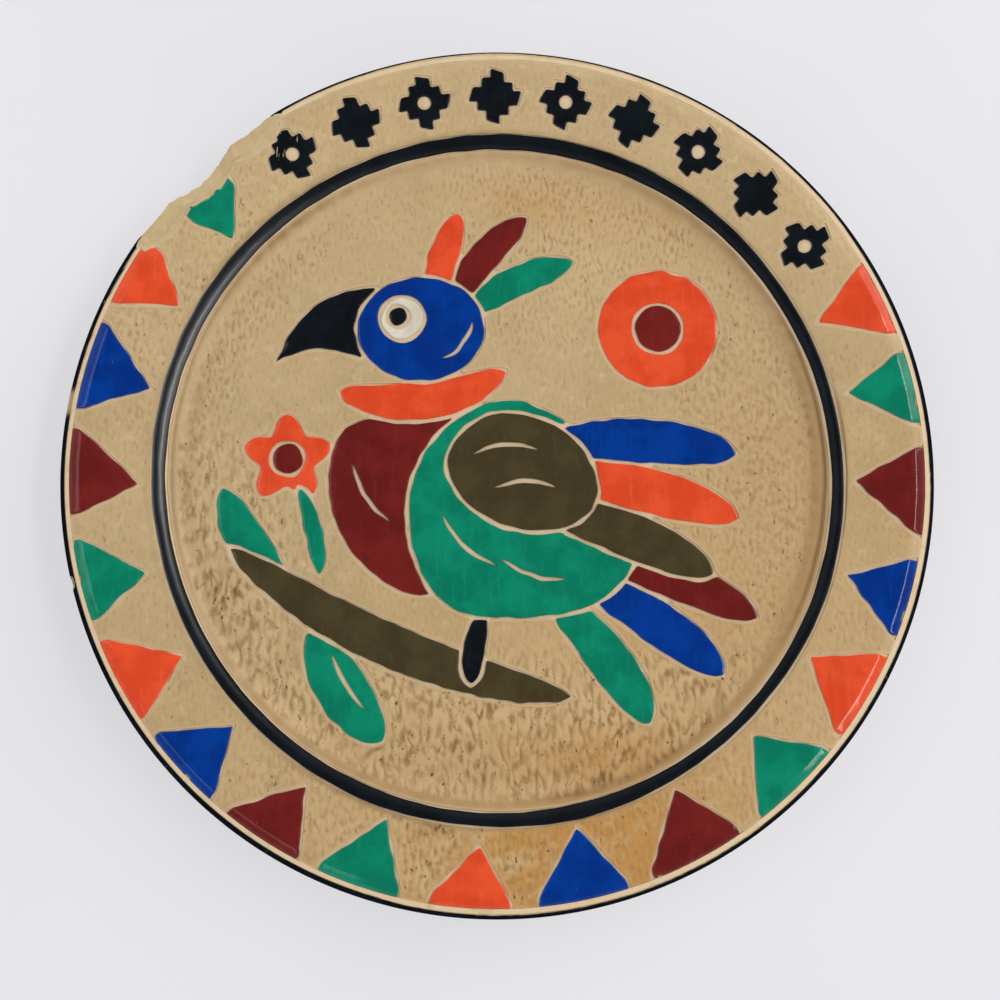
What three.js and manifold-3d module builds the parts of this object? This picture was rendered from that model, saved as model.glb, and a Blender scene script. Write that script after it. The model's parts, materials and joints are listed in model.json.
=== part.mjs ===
// A carved and painted pottery plate with a chipped edge.
//
// The light clay body stands on a foot ring that is luted into a groove in its underside. A thin
// coat of tan slip covers the rim and the well. Every outline of the decoration is cut through the
// slip, down to the clay. Each colour field is a thin slab on the clay in its own window, and an
// incised line stays bare all round it.
//
// Millimetres, +Z up. The origin is the centre of the face that the plate stands on, and +Y is the
// top of the decoration. Angles on the rim are in degrees, clockwise from +Y, seen from above.

import * as THREE from "three";
import { mergeVertices } from "three/addons/utils/BufferGeometryUtils.js";
import Module from "manifold-3d";

const wasm = await Module();
wasm.setup();

// Driving dimensions

const plateRadius = 100;
const bevelRadius = 98.4; // the bevel that falls from the crest runs into the rounded edge here
const crestRadius = 94.8; // the rim is highest here
const bandOuterRadius = 79.7; // the black band on the shoulder
const bandInnerRadius = 76.9;
const covePulls = [73, 75]; // radii where the cove's facets meet
const wellFloorRadius = 71;

const undersideHeight = 4.8;
const floorHeight = 10.2; // this height and the next four are of the finished surface
const bandInnerHeight = 13.5;
const bandOuterHeight = 14.6;
const crestHeight = 17.4;
const edgeHeight = 14.6; // the plate is widest here
const edgeRounding = 4.2; // the rounded edge reaches in by this much

const coatThickness = 0.35;
const fieldRise = 0.15; // a colour field stands this far above the slip
const lineWidth = 0.9; // an incised line between two fields
const slipLineWidth = 0.5; // an incised line between a field and the slip
const seatGap = 0.1; // between a piece and the clay under it
const sideGap = 0.2; // between a piece and the clay beside it

const bandRise = 0.4;
const bandShares = [0, 0.2, 0.5, 0.8, 1]; // points across the band's crown
const bareLineRadius = 97.4; // the slip ends here, and a bare line runs round to the edge paint
const edgePaintDepth = 0.3;
const edgePaintFrom = -0.45; // the edge paint's two borders, in radians round the edge
const edgePaintTo = 0.88;
const recessBelow = 0.05; // the recess for the edge paint runs past its borders by these angles
const recessAbove = 0.02;

const footInnerRadius = 51;
const footOuterRadius = 57;
const footTongue = 0.7; // how far the foot ring's top enters the groove
const footTaper = 0.6; // each side leans in by this much from the underside down to the rounding
const footRounding = 0.8;
const flareRadius = 62; // the underside is flat inside this, and flares up outside it
const flarePulls = [[72, undersideHeight], [80, 10.6]]; // radius and height of the curve's two pulls
const flareEnd = [plateRadius - edgeRounding, 11.8];
const underEdge = -0.85; // where the flare runs into the rounded edge, in radians round the edge

const turns = 60; // facets round the plate
const flareFacets = 5;
const chipFacet = 2.4; // length of a facet of a scar
const strokeWidth = 1.1; // a stroke of the carving tool inside a field
const mitreLimit = 0.4; // a grown outline's corner moves out by at most the distance over this

// Finishes

const finishes = {
  clay: finish(0xd9c29c, 0.8),
  slip: finish(0xbca275, 0.55),
  black: finish(0x101418, 0.3),
  orange: finish(0xe8512b, 0.35),
  green: finish(0x0c8466, 0.35),
  blue: finish(0x053588, 0.35),
  maroon: finish(0x6a1f1c, 0.35),
  brown: finish(0x4e462e, 0.4),
  white: finish(0xe4dccc, 0.4),
};

function finish(color, roughness) {
  return new THREE.MeshStandardMaterial({ color, roughness, metalness: 0 });
}

// Solids

const plate = new THREE.Group();

// A closed geometry as a solid that can be cut and joined.
function solidFrom(geometry) {
  const bare = geometry.clone();
  bare.deleteAttribute("normal");
  bare.deleteAttribute("uv");
  const merged = mergeVertices(bare, 1e-4);
  const triVerts = [];
  for (let i = 0; i < merged.index.count; i += 3) {
    const corners = [0, 1, 2].map((k) => merged.index.getX(i + k));
    if (new Set(corners).size === 3) triVerts.push(...corners);
  }
  return new wasm.Manifold(
    new wasm.Mesh({
      numProp: 3,
      vertProperties: merged.attributes.position.array,
      triVerts: new Uint32Array(triVerts),
    }),
  );
}

function addPiece(name, solid, finishName) {
  const { vertProperties, triVerts } = solid.getMesh();
  const geometry = new THREE.BufferGeometry();
  geometry.setAttribute("position", new THREE.BufferAttribute(vertProperties, 3));
  geometry.setIndex(new THREE.BufferAttribute(triVerts, 1));
  geometry.computeVertexNormals();
  const mesh = new THREE.Mesh(geometry, finishes[finishName]);
  mesh.name = name;
  plate.add(mesh);
}

// Revolves [radius, height] points, listed from the underside round by the outside to the top.
function revolve(points) {
  const profile = points.map(([radius, height]) => new THREE.Vector2(radius, height));
  return solidFrom(new THREE.LatheGeometry(profile, turns).rotateX(Math.PI / 2));
}

// An upright prism of an outline, taller than the plate.
function prism(outline) {
  const shape = new THREE.Shape(outline);
  return solidFrom(new THREE.ExtrudeGeometry(shape, { depth: 2 * crestHeight, bevelEnabled: false }));
}

// Profiles

// Height of the finished surface at a radius: floor, cove, shoulder, rim, bevel and rounded edge.
function surfaceHeight(radius) {
  const share = (from, to) => Math.min((radius - from) / (to - from), 1);
  const mix = THREE.MathUtils.lerp;
  if (radius <= wellFloorRadius) return floorHeight;
  if (radius <= bandInnerRadius) {
    return mix(floorHeight, bandInnerHeight, share(wellFloorRadius, bandInnerRadius) ** 2);
  }
  if (radius <= bandOuterRadius) {
    return mix(bandInnerHeight, bandOuterHeight, share(bandInnerRadius, bandOuterRadius));
  }
  if (radius <= crestRadius) {
    return mix(bandOuterHeight, crestHeight, share(bandOuterRadius, crestRadius));
  }
  if (radius < bevelRadius) {
    return mix(crestHeight, surfaceHeight(bevelRadius), share(crestRadius, bevelRadius));
  }
  const over = share(plateRadius - edgeRounding, plateRadius);
  return mix(edgeHeight, crestHeight, Math.sqrt(1 - over ** 2));
}

const below = (radius, depth) => [radius, surfaceHeight(radius) - depth];

// A point on the rounded edge, at an angle above or below the widest line, sunk by an inset.
function edgePoint(angle, inset = 0) {
  return [
    plateRadius - edgeRounding + (edgeRounding - inset) * Math.cos(angle),
    edgeHeight + (crestHeight - edgeHeight - inset) * Math.sin(angle),
  ];
}

// A layer whose two faces lie so far below the finished surface, through the given radii.
function layer(radii, top, bottom) {
  const lower = radii.map((radius) => below(radius, bottom));
  const upper = radii.map((radius) => below(radius, top)).reverse();
  const loop = [...lower, ...upper];
  return revolve(radii[0] === 0 ? loop : [...loop, lower[0]]);
}

const coveRadii = [wellFloorRadius, ...covePulls];
const wellSlipEnd = bandInnerRadius - lineWidth / 2;
const rimSlipStart = bandOuterRadius + lineWidth / 2;
const rimSlipEnd = bareLineRadius - sideGap;

// Chips: each scallop that a knock has left is cut by a ball over the edge

const knocks = [
  { angle: 307, out: 105.1, up: 35.3, radius: 22 },
  { angle: 315, out: 108.7, up: 31.7, radius: 22 },
  { angle: 323.4, out: 105, up: 35.3, radius: 22 },
  { angle: 254.8, out: 101.3, up: 16.4, radius: 2.4 },
];

function onRim(angle, radius) {
  const turned = THREE.MathUtils.degToRad(angle);
  return new THREE.Vector2(radius * Math.sin(turned), radius * Math.cos(turned));
}

const chips = knocks.map(({ angle, out, up, radius }) => {
  const { x, y } = onRim(angle, out);
  const facets = Math.ceil(radius / chipFacet);
  return solidFrom(new THREE.IcosahedronGeometry(radius, facets).translate(x, y, up));
});

const chipped = (solid) => chips.reduce((left, chip) => left.subtract(chip), solid);

// Clay body and foot ring

function makeBody() {
  const under = coatThickness + seatGap;
  const grooveTop = undersideHeight + footTongue + seatGap;
  const grooveInner = footInnerRadius - sideGap;
  const grooveOuter = footOuterRadius + sideGap;
  const paintSeat = edgePaintDepth + seatGap;
  const recessFrom = edgePaintFrom - recessBelow;
  const recessTo = edgePaintTo + recessAbove;
  const flarePoints = [[flareRadius, undersideHeight], ...flarePulls, flareEnd];
  const flare = new THREE.CubicBezierCurve(...flarePoints.map(([x, y]) => new THREE.Vector2(x, y)));
  return revolve([
    [0, undersideHeight],
    [grooveInner, undersideHeight],
    [grooveInner, grooveTop],
    [grooveOuter, grooveTop],
    [grooveOuter, undersideHeight],
    ...flare.getPoints(flareFacets).map(({ x, y }) => [x, y]),
    edgePoint(underEdge),
    edgePoint(recessFrom),
    edgePoint(recessFrom, paintSeat),
    edgePoint(0, paintSeat),
    edgePoint(recessTo, paintSeat),
    edgePoint(recessTo),
    below(bareLineRadius, 0),
    below(bareLineRadius, under),
    below(crestRadius, under),
    below(bandOuterRadius, under),
    below(bandInnerRadius, under),
    ...coveRadii.toReversed().map((radius) => below(radius, under)),
    [0, floorHeight - under],
  ]);
}

function makeFootRing() {
  const top = undersideHeight + footTongue;
  const innerToe = footInnerRadius + footTaper;
  const outerToe = footOuterRadius - footTaper;
  return revolve([
    [footInnerRadius, top],
    [footInnerRadius, undersideHeight],
    [innerToe, footRounding],
    [innerToe + footRounding, 0],
    [outerToe - footRounding, 0],
    [outerToe, footRounding],
    [footOuterRadius, undersideHeight],
    [footOuterRadius, top],
    [footInnerRadius, top],
  ]);
}

// The two black lines: the band on the shoulder, and the paint round the edge

function makeShoulderBand() {
  const crown = bandShares.map((share) => {
    const radius = THREE.MathUtils.lerp(bandInnerRadius, bandOuterRadius, share);
    return below(radius, -bandRise * (1 - (2 * share - 1) ** 2));
  });
  const inner = below(bandInnerRadius, coatThickness);
  return revolve([inner, below(bandOuterRadius, coatThickness), ...crown.reverse(), inner]);
}

function makeEdgePaint() {
  const angles = [edgePaintFrom, 0, edgePaintTo / 2, edgePaintTo];
  const outer = angles.map((angle) => edgePoint(angle));
  const inner = angles.map((angle) => edgePoint(angle, edgePaintDepth)).reverse();
  return revolve([...outer, ...inner, outer[0]]);
}

// Outlines: counter-clockwise lists of points

const at = (x, y) => new THREE.Vector2(x, y);

// A small ellipse has few points, and a larger one more.
function ellipse(x, y, across, up = across) {
  const count = Math.round(9 + 1.3 * Math.sqrt(across * up));
  return Array.from({ length: count }, (_, i) => {
    const turned = (2 * Math.PI * i) / count;
    return at(x + across * Math.cos(turned), y + up * Math.sin(turned));
  });
}

// A smooth closed outline through a few points, with three points of its own for each.
function blob(points) {
  const through = points.map(([x, y]) => new THREE.Vector3(x, y, 0));
  const curve = new THREE.CatmullRomCurve3(through, true, "centripetal");
  return curve.getSpacedPoints(3 * points.length).slice(1).map(({ x, y }) => at(x, y));
}

// A round-ended lobe along a line that bows to its left, widest at the share `full` of its length.
function lobe(from, to, width, bow = 0, full = 0.6, steps = 8) {
  const start = at(...from);
  const end = at(...to);
  const left = end.clone().sub(start).normalize().rotateAround(at(0, 0), Math.PI / 2);
  const middle = start.clone().lerp(end, 0.5).addScaledVector(left, 2 * bow);
  const spine = new THREE.QuadraticBezierCurve(start, middle, end);
  const edge = (i, side) => {
    const along = (1 - Math.cos((Math.PI * i) / steps)) / 2;
    const centred = 2 * along ** (Math.log(0.5) / Math.log(full)) - 1;
    const offset = side * (width / 2) * Math.sqrt(1 - centred ** 2);
    const { x, y } = spine.getTangent(along);
    return spine.getPoint(along).add(at(-y, x).multiplyScalar(offset));
  };
  const onRight = Array.from({ length: steps }, (_, i) => edge(i, -1));
  const onLeft = Array.from({ length: steps }, (_, i) => edge(steps - i, 1));
  return [...onRight, ...onLeft];
}

// A ring of round petals, with eight points to a petal.
function rosette(x, y, radius, petals, depth) {
  const count = 8 * petals;
  return Array.from({ length: count }, (_, i) => {
    const turned = (2 * Math.PI * i) / count;
    const out = radius + depth * Math.cos(petals * turned);
    return at(x - out * Math.sin(turned), y + out * Math.cos(turned));
  });
}

// An outline moved outwards by a distance, with mitred corners.
function grow(outline, distance) {
  return outline.map((point, i) => {
    const before = outline.at(i - 1);
    const after = outline[(i + 1) % outline.length];
    const into = point.clone().sub(before).normalize();
    const out = after.clone().sub(point).normalize();
    const outwards = at(into.y + out.y, -into.x - out.x).normalize();
    const spread = Math.max(mitreLimit, outwards.dot(at(into.y, -into.x)));
    return point.clone().addScaledVector(outwards, distance / spread);
  });
}

const stroke = (from, to, bow) => lobe(from, to, strokeWidth, bow, 0.5, 5);

// The rim's triangles: colour, angles of the base's two ends and of the point, and the point's radius

const triangleBase = 98.1; // past the slip's end, which trims the base to the rim's own curve
const rimTriangles = [
  ["orange", 60.9, 70.9, 65.3, 82.2],
  ["green", 74.1, 83.9, 77.8, 82.8],
  ["maroon", 87.4, 99, 92, 82.2],
  ["blue", 102.7, 113.1, 107, 83.2],
  ["orange", 116.2, 128, 121.3, 82.4],
  ["green", 130.9, 142.9, 136.4, 83.1],
  ["maroon", 146.6, 159.1, 151.1, 82.2],
  ["blue", 162.8, 174.4, 167.6, 82.2],
  ["orange", 178.3, 188.8, 182.6, 84.4],
  ["green", 193.1, 203.7, 197.4, 82.2],
  ["maroon", 207, 217.6, 210.9, 83],
  ["blue", 220.7, 231.5, 225.4, 82.9],
  ["orange", 234.6, 245.9, 239.1, 82.7],
  ["green", 249.1, 260.1, 253.3, 83.2],
  ["maroon", 263.6, 275.2, 267.7, 82.2],
  ["blue", 278.3, 290.2, 283.2, 82.2],
  ["orange", 293.5, 304.3, 297.5, 83.3],
  ["green", 308.4, 319.9, 311.4, 82.4],
];

function triangleOutline(from, to, point, pointRadius) {
  return [onRim(to, triangleBase), onRim(from, triangleBase), onRim(point, pointRadius)];
}

// The rim's black ornaments: stepped diamonds, every other one with a round eye

const diamondCount = 9;
const diamondFirst = -32.9;
const diamondPitch = 10.86;
const diamondRadius = 88.6;
const diamondHalf = 6.3;
const diamondSteps = 3;
const diamondEye = 1.7;

// A diamond whose sides are stairs, with one corner towards the plate's centre.
function steppedDiamond(angle) {
  const tread = diamondHalf / diamondSteps;
  const side = [];
  for (let step = 0; step < diamondSteps; step += 1) {
    side.push(at(diamondHalf - step * tread, (step + 0.5) * tread));
    side.push(at(diamondHalf - (step + 1) * tread, (step + 0.5) * tread));
  }
  side.pop();
  const centre = onRim(angle, diamondRadius);
  const turned = THREE.MathUtils.degToRad(-angle);
  return [0, 1, 2, 3].flatMap((quarter) =>
    side.map((point) =>
      point.clone().rotateAround(at(0, 0), (quarter * Math.PI) / 2 + turned).add(centre),
    ),
  );
}

// The picture in the well: a crested bird on a branch, with a sun and a flower

function beakOutline() {
  const path = new THREE.Path();
  path.moveTo(-29, 44);
  path.quadraticCurveTo(-46, 44, -52, 26);
  path.quadraticCurveTo(-44, 32, -32, 27);
  return path.getPoints(6);
}

const bodyOutline = [
  [-10, 12], [-19, 0], [-20, -16], [-12, -31], [6, -34], [24, -30], [33, -18], [29, -3], [18, 10],
  [4, 17],
];
const breastOutline = [
  [-36, 10], [-39, -6], [-31, -22], [-17, -29], [-10, -20], [-8, -2], [-9, 14], [-24, 13],
];
const capOutline = [[-12, 2], [-4, -10], [12, -14], [23, -8], [21, 4], [11, 12], [-3, 13]];

// Listed from front to back: each field is cut back by the fields in front of it.
const picture = [
  ["bird_pupil", "black", ellipse(-23.5, 37, 2.2)],
  ["bird_eye", "white", ellipse(-22.5, 36.5, 5)],
  ["bird_head", "blue", ellipse(-18, 34, 15, 12.5)],
  ["bird_beak", "black", beakOutline()],
  ["bird_collar", "orange", lobe([-37, 19], [2, 24], 9, -5, 0.5)],
  ["crest_plume_1", "orange", lobe([-16, 36], [-9, 62], 7, 1)],
  ["crest_plume_2", "maroon", lobe([-14, 35], [7, 61], 7.5, 2)],
  ["crest_plume_3", "green", lobe([-12, 34], [18, 50], 7.5, 2.5)],
  ["wing_cap", "brown", blob(capOutline)],
  ["wing_feather_1", "blue", lobe([6, 6], [56, 4], 10.5, 2.5)],
  ["wing_feather_2", "orange", lobe([6, 0], [56, -11], 10.5, 2)],
  ["wing_feather_3", "brown", lobe([4, -7], [50, -24], 10.5, 2)],
  ["bird_body", "green", blob(bodyOutline)],
  ["bird_breast", "maroon", blob(breastOutline)],
  ["tail_plume_1", "maroon", lobe([20, -20], [60, -34], 9, 2)],
  ["tail_plume_2", "blue", lobe([16, -24], [52, -47], 10, 2)],
  ["tail_plume_3", "green", lobe([10, -27], [35, -58], 10, 2)],
  ["bird_leg", "black", lobe([-2, -30], [-6, -49], 5, -1)],
  ["branch", "brown", lobe([-62, -18], [17, -52], 10, -6, 0.5)],
  ["leaf_1", "green", lobe([-42, -36], [-26, -62], 12, -2, 0.5)],
  ["flower_stem", "green", lobe([-41, -24], [-46, -4], 4, -1, 0.5)],
  ["leaf_2", "green", lobe([-48, -28], [-64, -4], 9, 2, 0.5)],
  ["flower_heart", "maroon", ellipse(-49, 3, 3.6)],
  ["flower_petals", "orange", rosette(-49, 3, 8.5, 5, 2)],
  ["sun_heart", "maroon", ellipse(38, 34, 5.5)],
  ["sun_disc", "orange", ellipse(38, 34, 14)],
];

const strokes = {
  bird_head: [stroke([-13, 27], [-6, 36], -2)],
  wing_cap: [stroke([-6, 4], [10, 5], 2), stroke([-1, -4], [14, -4], 2)],
  bird_body: [stroke([-13, -10], [0, -22], -2), stroke([1, -20], [16, -25], -2)],
  bird_breast: [stroke([-34, 2], [-25, -12], -1.5)],
  leaf_1: [stroke([-38, -42], [-30, -55], -1)],
};

// Assembly

addPiece("plate_body", chipped(makeBody()), "clay");
addPiece("foot_ring", makeFootRing(), "clay");
addPiece("shoulder_band", makeShoulderBand(), "black");
addPiece("edge_paint", chipped(makeEdgePaint()), "black");

const rimRadii = [rimSlipStart, crestRadius, rimSlipEnd];
const rimField = layer(rimRadii, -fieldRise, coatThickness);
let rimSlip = layer(rimRadii, 0, coatThickness);

rimTriangles.forEach(([colour, ...corners], i) => {
  const outline = triangleOutline(...corners);
  const number = String(i + 1).padStart(2, "0");
  addPiece(`rim_triangle_${number}`, chipped(prism(outline).intersect(rimField)), colour);
  rimSlip = rimSlip.subtract(prism(grow(outline, slipLineWidth)));
});

for (let i = 0; i < diamondCount; i += 1) {
  const angle = diamondFirst + i * diamondPitch;
  const outline = steppedDiamond(angle);
  const { x, y } = onRim(angle, diamondRadius);
  let diamond = prism(outline).intersect(rimField);
  if (i % 2 === 0) diamond = diamond.subtract(prism(ellipse(x, y, diamondEye)));
  addPiece(`rim_diamond_${i + 1}`, chipped(diamond), "black");
  rimSlip = rimSlip.subtract(prism(grow(outline, slipLineWidth)));
}

const wellField = layer([0, wellFloorRadius], -fieldRise, coatThickness);
let wellSlip = layer([0, ...coveRadii, wellSlipEnd], 0, coatThickness);
const inFront = [];

// The slip is cut back by a narrow line round each field, and wherever the lines of two fields meet.
for (const [name, colour, outline] of picture) {
  let field = prism(outline).intersect(wellField);
  const line = prism(grow(outline, lineWidth));
  wellSlip = wellSlip.subtract(prism(grow(outline, slipLineWidth)));
  for (const front of inFront) {
    field = field.subtract(front);
    wellSlip = wellSlip.subtract(front.intersect(line));
  }
  for (const cut of strokes[name] ?? []) field = field.subtract(prism(cut));
  addPiece(name, field, colour);
  inFront.push(line);
}

addPiece("rim_slip", chipped(rimSlip), "slip");
addPiece("well_slip", wellSlip, "slip");

export default plate;
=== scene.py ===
import json
import math
import bpy
import numpy as np
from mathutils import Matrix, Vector
from mathutils.geometry import delaunay_2d_cdt


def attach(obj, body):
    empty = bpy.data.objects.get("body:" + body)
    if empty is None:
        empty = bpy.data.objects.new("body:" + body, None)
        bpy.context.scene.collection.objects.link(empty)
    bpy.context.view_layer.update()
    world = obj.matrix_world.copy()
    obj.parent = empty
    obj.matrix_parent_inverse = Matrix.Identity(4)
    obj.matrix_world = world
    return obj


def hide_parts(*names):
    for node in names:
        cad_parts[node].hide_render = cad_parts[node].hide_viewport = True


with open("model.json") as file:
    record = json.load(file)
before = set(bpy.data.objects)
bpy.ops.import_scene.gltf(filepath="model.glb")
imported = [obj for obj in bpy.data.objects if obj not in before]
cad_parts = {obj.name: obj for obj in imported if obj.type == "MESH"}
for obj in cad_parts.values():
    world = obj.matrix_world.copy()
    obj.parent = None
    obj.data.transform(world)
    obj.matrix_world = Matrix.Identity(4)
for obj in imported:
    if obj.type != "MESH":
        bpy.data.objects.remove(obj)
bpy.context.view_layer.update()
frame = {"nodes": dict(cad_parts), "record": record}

# A carved and painted pottery plate with a chipped edge, seen almost straight down.
# Shapes are worked out in millimetres and put into the meshes in metres. Angles round the plate are
# in degrees, clockwise from +Y, as it is looked down on.

mm = 0.001
slotOf = {row["node"]: row["material_slot"] for row in frame["record"]["subparts"]}
print("frame loaded,", len(frame["nodes"]), "nodes")

# Form of the plate

form = {
    "edgeRadius": 100.0,
    "edgeRounding": 4.2,  # how far the rounded edge reaches in
    "crestRadius": 94.8,
    "bevelEnd": 98.4,
    "bandOuter": 79.7,
    "bandMiddle": 78.3,
    "bandInner": 76.9,
    "floorRadius": 71.0,
    "edgeHeight": 14.6,
    "crestHeight": 17.4,
    "bandOuterHeight": 14.6,
    "bandInnerHeight": 13.5,
    "floorHeight": 10.2,
    "underHeight": 4.8,
    "coat": 0.35,  # thickness of the slip, and depth of a painted field's seat
    "thinnest": 0.004,  # what a knock leaves of a coat
    "clayTop": 0.37,  # depth of the bare clay in the carved lines
    "slipEnd": 97.2,
    "crestBlend": 0.2,
}


def surfaceHeight(radius):
    # flat floor, a parabola up the cove, two straight slopes to the crest, a softened turn into the
    # straight bevel, then an ellipse over the edge
    riseCove = form["bandInnerHeight"] - form["floorHeight"]
    shareCove = np.clip((radius - form["floorRadius"]) / (form["bandInner"] - form["floorRadius"]), 0, 1)
    cove = form["floorHeight"] + riseCove * shareCove**2
    rimSlope = (form["crestHeight"] - form["bandOuterHeight"]) / (form["crestRadius"] - form["bandOuter"])
    rim = form["crestHeight"] + rimSlope * (radius - form["crestRadius"])
    shoulder = np.interp(
        radius, [form["bandInner"], form["bandOuter"]], [form["bandInnerHeight"], form["bandOuterHeight"]]
    )
    reach = form["edgeRounding"]
    drop = form["crestHeight"] - form["edgeHeight"]
    over = np.clip((radius - form["edgeRadius"] + reach) / reach, 0, 1)
    rounded = form["edgeHeight"] + drop * np.sqrt(1 - over**2)
    overEnd = (form["bevelEnd"] - form["edgeRadius"] + reach) / reach
    endHeight = form["edgeHeight"] + drop * math.sqrt(1 - overEnd**2)
    bevelSlope = (endHeight - form["crestHeight"]) / (form["bevelEnd"] - form["crestRadius"])
    bevel = form["crestHeight"] + bevelSlope * (radius - form["crestRadius"])
    share = np.clip(0.5 + 0.5 * (bevel - rim) / form["crestBlend"], 0, 1)
    crest = bevel + (rim - bevel) * share - form["crestBlend"] * share * (1 - share)
    low = np.where(radius <= form["bandInner"], cove, shoulder)
    high = np.where(radius <= form["bevelEnd"], crest, rounded)
    return np.where(radius <= form["bandOuter"], low, high)


def slabFoot(radius):
    # the underside of slip and paint
    return surfaceHeight(radius) - form["coat"]


def edgePoint(turn, inset=0.0):
    # a point on the rounded edge: an ellipse round a circle inside the edge, sunk by the inset
    radius = form["edgeRadius"] - form["edgeRounding"] + (form["edgeRounding"] - inset) * np.cos(turn)
    height = form["edgeHeight"] + (form["crestHeight"] - form["edgeHeight"] - inset) * np.sin(turn)
    return radius, height


def smoothStep(value, low, high):
    share = np.clip((value - low) / (high - low), 0, 1)
    return share * share * (3 - 2 * share)


def bell(value, middle, reach):
    # 1 at the middle, and smoothly down to almost 0 at twice the reach
    return np.exp(-(((value - middle) / reach) ** 2))


def polar(x, y):
    # distance from the axis, and the angle round the plate
    return np.hypot(x, y), np.degrees(np.arctan2(x, y)) % 360


def ripples(x, y, size, seed, waves=8):
    # smooth noise of about -1 to 1: a sum of sine waves of about one length in random directions
    random = np.random.default_rng(seed)
    turn = random.uniform(0, 2 * np.pi, waves)
    number = 2 * np.pi / (size * random.uniform(0.7, 1.5, waves))
    phase = random.uniform(0, 2 * np.pi, waves)
    total = np.zeros(np.shape(x))
    for k in range(waves):
        total += np.sin(number[k] * (x * np.cos(turn[k]) + y * np.sin(turn[k])) + phase[k])
    return total / math.sqrt(2 * waves)


# The chip and the nick: balls whose undersides are the scars, as in the solids

knocks = [
    {"angle": 307, "out": 105.1, "up": 35.3, "radius": 22},
    {"angle": 315, "out": 108.7, "up": 31.7, "radius": 22},
    {"angle": 323.4, "out": 105, "up": 35.3, "radius": 22},
    {"angle": 254.8, "out": 101.3, "up": 16.4, "radius": 2.4},
]
scar = {"ripple": 0.12, "rippleSize": 2.6, "grain": 0.05, "grainSize": 0.8, "anchor": (90.0, 13.0)}


def knockBall(knock, x, y):
    # the ball's centre, and its radius with the waves and grain of a broken face
    turn = math.radians(knock["angle"])
    centre = (knock["out"] * math.sin(turn), knock["out"] * math.cos(turn), knock["up"])
    waves = scar["ripple"] * ripples(x, y, scar["rippleSize"], 41)
    grain = scar["grain"] * ripples(x, y, scar["grainSize"], 42, 12)
    return centre, knock["radius"] + waves + grain


def scarHeight(x, y):
    # the lowest underside of any ball over a point, far overhead where there is none
    height = np.full(np.shape(x), 99.0)
    for knock in knocks:
        centre, radius = knockBall(knock, x, y)
        drop = radius**2 - (x - centre[0]) ** 2 - (y - centre[1]) ** 2
        height = np.where(drop > 0, np.minimum(height, centre[2] - np.sqrt(np.maximum(drop, 0))), height)
    return height


def knockOff(points, depth=0.0):
    # a point inside a ball moves towards a ring deep in the rim until it is out of the ball
    turn = np.arctan2(points[:, 0], points[:, 1])
    ringRadius, ringHeight = scar["anchor"]
    ring = np.stack([ringRadius * np.sin(turn), ringRadius * np.cos(turn), 0 * turn + ringHeight], 1)
    toRing = ring - points
    share = np.zeros(len(points))
    for knock in knocks:
        centre, radius = knockBall(knock, points[:, 0], points[:, 1])
        fromCentre = points - np.array(centre)
        squared = (toRing**2).sum(1)
        along = (toRing * fromCentre).sum(1)
        beyond = (fromCentre**2).sum(1) - (radius + depth) ** 2
        root = (-along + np.sqrt(np.maximum(along**2 - squared * beyond, 0))) / squared
        share = np.maximum(share, np.where(beyond < 0, root, 0))
    return points + share[:, None] * toRing, share > 0


# Meshes

def newObject(name, data):
    made = bpy.data.objects.new(name, data)
    bpy.context.scene.collection.objects.link(made)
    return made


def newPiece(name, node, points, faces, finish, sharp, **values):
    # faces is a list of arrays of corner numbers, and values are numbers on the points
    mesh = bpy.data.meshes.new(name)
    corners = np.concatenate([group.ravel() for group in faces]).astype(np.int32)
    sides = np.concatenate([np.full(len(group), group.shape[1]) for group in faces]).astype(np.int32)
    starts = np.concatenate([[0], np.cumsum(sides)[:-1]]).astype(np.int32)
    mesh.vertices.add(len(points))
    mesh.vertices.foreach_set("co", (points * mm).astype(np.float32).ravel())
    mesh.loops.add(len(corners))
    mesh.loops.foreach_set("vertex_index", corners)
    mesh.polygons.add(len(sides))
    mesh.polygons.foreach_set("loop_start", starts)
    for key, value in values.items():
        layer = mesh.attributes.new(key, "FLOAT", "POINT")
        layer.data.foreach_set("value", value.astype(np.float32))
    mesh.update(calc_edges=True)
    mesh.validate()
    mesh.shade_smooth()
    mesh.set_sharp_from_angle(angle=math.radians(sharp))
    mesh.materials.append(finish)
    piece = newObject(name, mesh)
    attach(piece, "root")
    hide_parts(node)
    return piece


def trianglesOf(node):
    # a node's points in millimetres, with equal points merged, and its triangles
    mesh = frame["nodes"][node].data
    mesh.calc_loop_triangles()
    corners = np.empty(3 * len(mesh.loop_triangles), dtype=np.int32)
    mesh.loop_triangles.foreach_get("vertices", corners)
    points = np.empty(3 * len(mesh.vertices))
    mesh.vertices.foreach_get("co", points)
    merged, index = np.unique(np.round(points.reshape(-1, 3) / mm, 3), axis=0, return_inverse=True)
    triangles = index.ravel()[corners].reshape(-1, 3)
    return merged, triangles


def planOutlines(node):
    # the plan of a slab: the border of its downward faces, as closed loops with the clay on their left
    points, triangles = trianglesOf(node)
    a, b, c = (points[triangles[:, k]] for k in range(3))
    normal = np.cross(b - a, c - a)
    length = np.linalg.norm(normal, axis=1)
    down = triangles[(length > 1e-9) & (normal[:, 2] < -0.3 * length)]
    edges = np.concatenate([down[:, [1, 0]], down[:, [2, 1]], down[:, [0, 2]]])
    known = {tuple(edge) for edge in edges.tolist()}
    following = {}
    for start, end in known:
        if (end, start) not in known:
            following[start] = end
    loops = []
    while following:
        start, end = following.popitem()
        loop = [start]
        while end != start:
            loop.append(end)
            end = following.pop(end)
        loops.append(points[loop][:, :2])
    return [loop for loop in loops if len(loop) > 2]


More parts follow.
